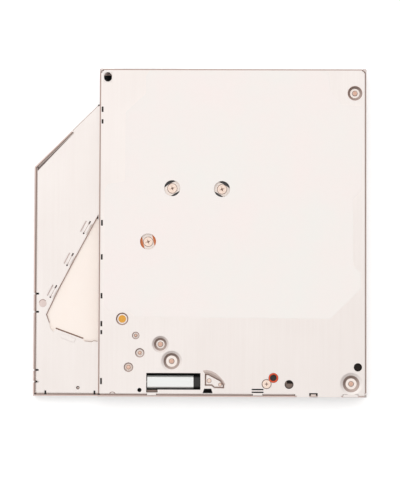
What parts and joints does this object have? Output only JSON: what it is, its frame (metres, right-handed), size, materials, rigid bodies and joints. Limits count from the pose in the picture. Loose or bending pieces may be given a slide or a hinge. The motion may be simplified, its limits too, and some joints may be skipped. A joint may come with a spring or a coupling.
{
  "type": "internal slot-loading optical disc drive",
  "caption": "Slim internal slot-loading DVD writer with a thin wing, lying on its top cover; stamped steel base, loading gear train, tilting traverse with disc motor and pickup.",
  "frame": {"origin": "centre of the bounding box on the top cover's outer face", "axes": "+Z out of the underside with the label, -Y towards the disc slot, -X towards the thin wing"},
  "size_m": [0.128, 0.1262, 0.0095],
  "materials": {
    "base_steel": "satin",
    "cover_steel": "satin",
    "small_steel": "machined",
    "label": "matt",
    "felt": "matt",
    "black_plastic": "matt",
    "board": "satin",
    "chip": "matt",
    "connector_plastic": "matt",
    "contact": "polished",
    "motor_can": "satin",
    "gear_plastic": "matt",
    "bush_brass": "machined",
    "lever_cream": "satin",
    "roller_plastic": "matt",
    "frame_metal": "matt",
    "insulator_rubber": "matt",
    "pad_rubber": "matt",
    "flex_film": "gloss",
    "winding": "satin",
    "magnet": "satin",
    "pickup_alloy": "cast",
    "lens_glass": "clear"
  },
  "bodies": {
    "chassis": {"base_chassis": "base_steel", "top_cover": "cover_steel", "cover_screws": "small_steel", "label_sheet": "label", "felt_lips": "felt", "slot_guide": "black_plastic", "front_screw": "small_steel", "main_board": "board", "controller_chip": "chip", "driver_chips": "chip", "board_connectors": "connector_plastic", "sata_connector": "black_plastic", "sata_contacts": "contact", "detect_switch": "black_plastic", "loading_motor": "motor_can", "motor_end_cap": "black_plastic", "worm_bearing": "black_plastic", "rack_gear_bush": "bush_brass", "gear_posts": "small_steel", "lever_posts": "small_steel", "post_rings": "small_steel", "lever_springs": "small_steel", "insulator_pins": "black_plastic"},
    "slider": {"main_slider": "black_plastic"},
    "worm_shaft": {"worm": "small_steel"},
    "wheel_c": {"worm_wheel": "gear_plastic"},
    "gear_b": {"first_gear": "gear_plastic"},
    "gear_e": {"second_gear": "gear_plastic"},
    "gear_f": {"rack_gear": "gear_plastic"},
    "trigger": {"trigger_lever": "small_steel"},
    "switch_arm": {"switch_lever": "small_steel"},
    "side_arm": {"side_lever": "lever_cream"},
    "side_roller": {"side_lever_roller": "roller_plastic"},
    "front_arm": {"front_lever": "small_steel"},
    "front_roller": {"front_lever_roller": "roller_plastic"},
    "eject_arm": {"eject_lever": "small_steel"},
    "eject_roller": {"eject_lever_pad": "roller_plastic"},
    "traverse": {"traverse_frame": "frame_metal", "spindle_bracket": "small_steel", "motor_flex": "flex_film", "bracket_screws": "small_steel", "spindle_bearing": "bush_brass", "spindle_stator": "winding", "feed_motor": "motor_can", "screw_bearings": "black_plastic", "guide_rails": "small_steel", "rail_clips": "small_steel", "insulators": "insulator_rubber"},
    "rotor": {"spindle_rotor": "small_steel", "rotor_magnet": "magnet", "spindle_shaft": "small_steel", "turntable_pad": "pad_rubber", "chuck_hub": "roller_plastic", "chuck_claws": "roller_plastic"},
    "carriage": {"pickup_body": "pickup_alloy", "pickup_cover": "small_steel", "focus_magnets": "magnet"},
    "lens_unit": {"lens_holder": "black_plastic", "objective_lens": "lens_glass"},
    "feed_shaft": {"lead_screw": "small_steel"}
  },
  "joints": [
    {"name": "main_slider_slide", "type": "slide", "parent": "chassis", "child": "slider", "axis": [0, 1, 0], "range_m": [0, 0.008]},
    {"name": "traverse_tilt", "type": "hinge", "parent": "chassis", "child": "traverse", "pos_m": [0.04165, -0.04252, 0.0056], "axis": [-0.7071, -0.7071, 0], "range_deg": [0, 1.43]},
    {"name": "rack_gear_turn", "type": "hinge", "parent": "chassis", "child": "gear_f", "pos_m": [-0.02955, -0.03335, 0.006], "axis": [0, 0, 1], "continuous": true},
    {"name": "second_gear_turn", "type": "hinge", "parent": "chassis", "child": "gear_e", "pos_m": [-0.02433, -0.03968, 0.006], "axis": [0, 0, 1], "continuous": true},
    {"name": "first_gear_turn", "type": "hinge", "parent": "chassis", "child": "gear_b", "pos_m": [-0.02275, -0.04629, 0.006], "axis": [0, 0, 1], "continuous": true},
    {"name": "worm_wheel_turn", "type": "hinge", "parent": "chassis", "child": "wheel_c", "pos_m": [-0.02706, -0.05181, 0.006], "axis": [0, 0, 1], "continuous": true},
    {"name": "worm_turn", "type": "hinge", "parent": "chassis", "child": "worm_shaft", "pos_m": [-0.02706, -0.05741, 0.0068], "axis": [1, 0, 0], "continuous": true},
    {"name": "trigger_lever_turn", "type": "hinge", "parent": "chassis", "child": "trigger", "pos_m": [-0.01055, -0.04946, 0.0042], "axis": [0, 0, 1], "range_deg": [-17.58, 0]},
    {"name": "switch_lever_turn", "type": "hinge", "parent": "chassis", "child": "switch_arm", "pos_m": [-0.01488, -0.043, 0.0042], "axis": [0, 0, 1], "range_deg": [-6, 6], "stiffness_Nm_per_rad": 0.001},
    {"name": "side_lever_turn", "type": "hinge", "parent": "chassis", "child": "side_arm", "pos_m": [-0.0325, 0.01, 0.0042], "axis": [0, 0, 1], "range_deg": [0, 5], "stiffness_Nm_per_rad": 0.001},
    {"name": "side_roller_spin", "type": "hinge", "parent": "side_arm", "child": "side_roller", "pos_m": [-0.0506, -0.041, 0.0026], "axis": [0, 0, 1], "continuous": true},
    {"name": "front_lever_turn", "type": "hinge", "parent": "chassis", "child": "front_arm", "pos_m": [0.05811, -0.05788, 0.0042], "axis": [0, 0, 1], "range_deg": [-50, 0], "stiffness_Nm_per_rad": 0.001},
    {"name": "front_roller_spin", "type": "hinge", "parent": "front_arm", "child": "front_roller", "pos_m": [0.04401, -0.04398, 0.0026], "axis": [0, 0, 1], "continuous": true},
    {"name": "eject_lever_turn", "type": "hinge", "parent": "chassis", "child": "eject_arm", "pos_m": [0.05957, 0.05369, 0.0042], "axis": [0, 0, 1], "range_deg": [0, 40], "stiffness_Nm_per_rad": 0.001},
    {"name": "eject_roller_spin", "type": "hinge", "parent": "eject_arm", "child": "eject_roller", "pos_m": [0.01997, 0.05849, 0.0026], "axis": [0, 0, 1], "continuous": true},
    {"name": "disc_motor_spin", "type": "hinge", "parent": "traverse", "child": "rotor", "pos_m": [-0.00128, 0.00041, 0.0055], "axis": [0.0175, -0.0175, 0.9997], "continuous": true},
    {"name": "pickup_feed", "type": "slide", "parent": "traverse", "child": "carriage", "axis": [0.7069, -0.7069, -0.0247], "range_m": [0, 0.0345]},
    {"name": "lead_screw_turn", "type": "hinge", "parent": "traverse", "child": "feed_shaft", "pos_m": [0.02555, -0.0011, 0.00711], "axis": [0.7069, -0.7069, -0.0247], "continuous": true},
    {"name": "lens_focus", "type": "slide", "parent": "carriage", "child": "lens_unit", "axis": [0.0175, -0.0175, 0.9997], "range_m": [-0.0002, 0.0003], "stiffness_N_per_m": 20}
  ],
  "couplings": [
    {"joint": "traverse_tilt", "follows": "main_slider_slide", "rad_per_m": 3.0893},
    {"joint": "rack_gear_turn", "follows": "main_slider_slide", "rad_per_m": -172.41},
    {"joint": "second_gear_turn", "follows": "main_slider_slide", "rad_per_m": 416.67},
    {"joint": "first_gear_turn", "follows": "main_slider_slide", "rad_per_m": -1000},
    {"joint": "worm_wheel_turn", "follows": "main_slider_slide", "rad_per_m": 2500},
    {"joint": "worm_turn", "follows": "main_slider_slide", "rad_per_m": -50000},
    {"joint": "trigger_lever_turn", "follows": "main_slider_slide", "rad_per_m": -38.244},
    {"joint": "lead_screw_turn", "follows": "pickup_feed", "rad_per_m": 2094.4}
  ]
}
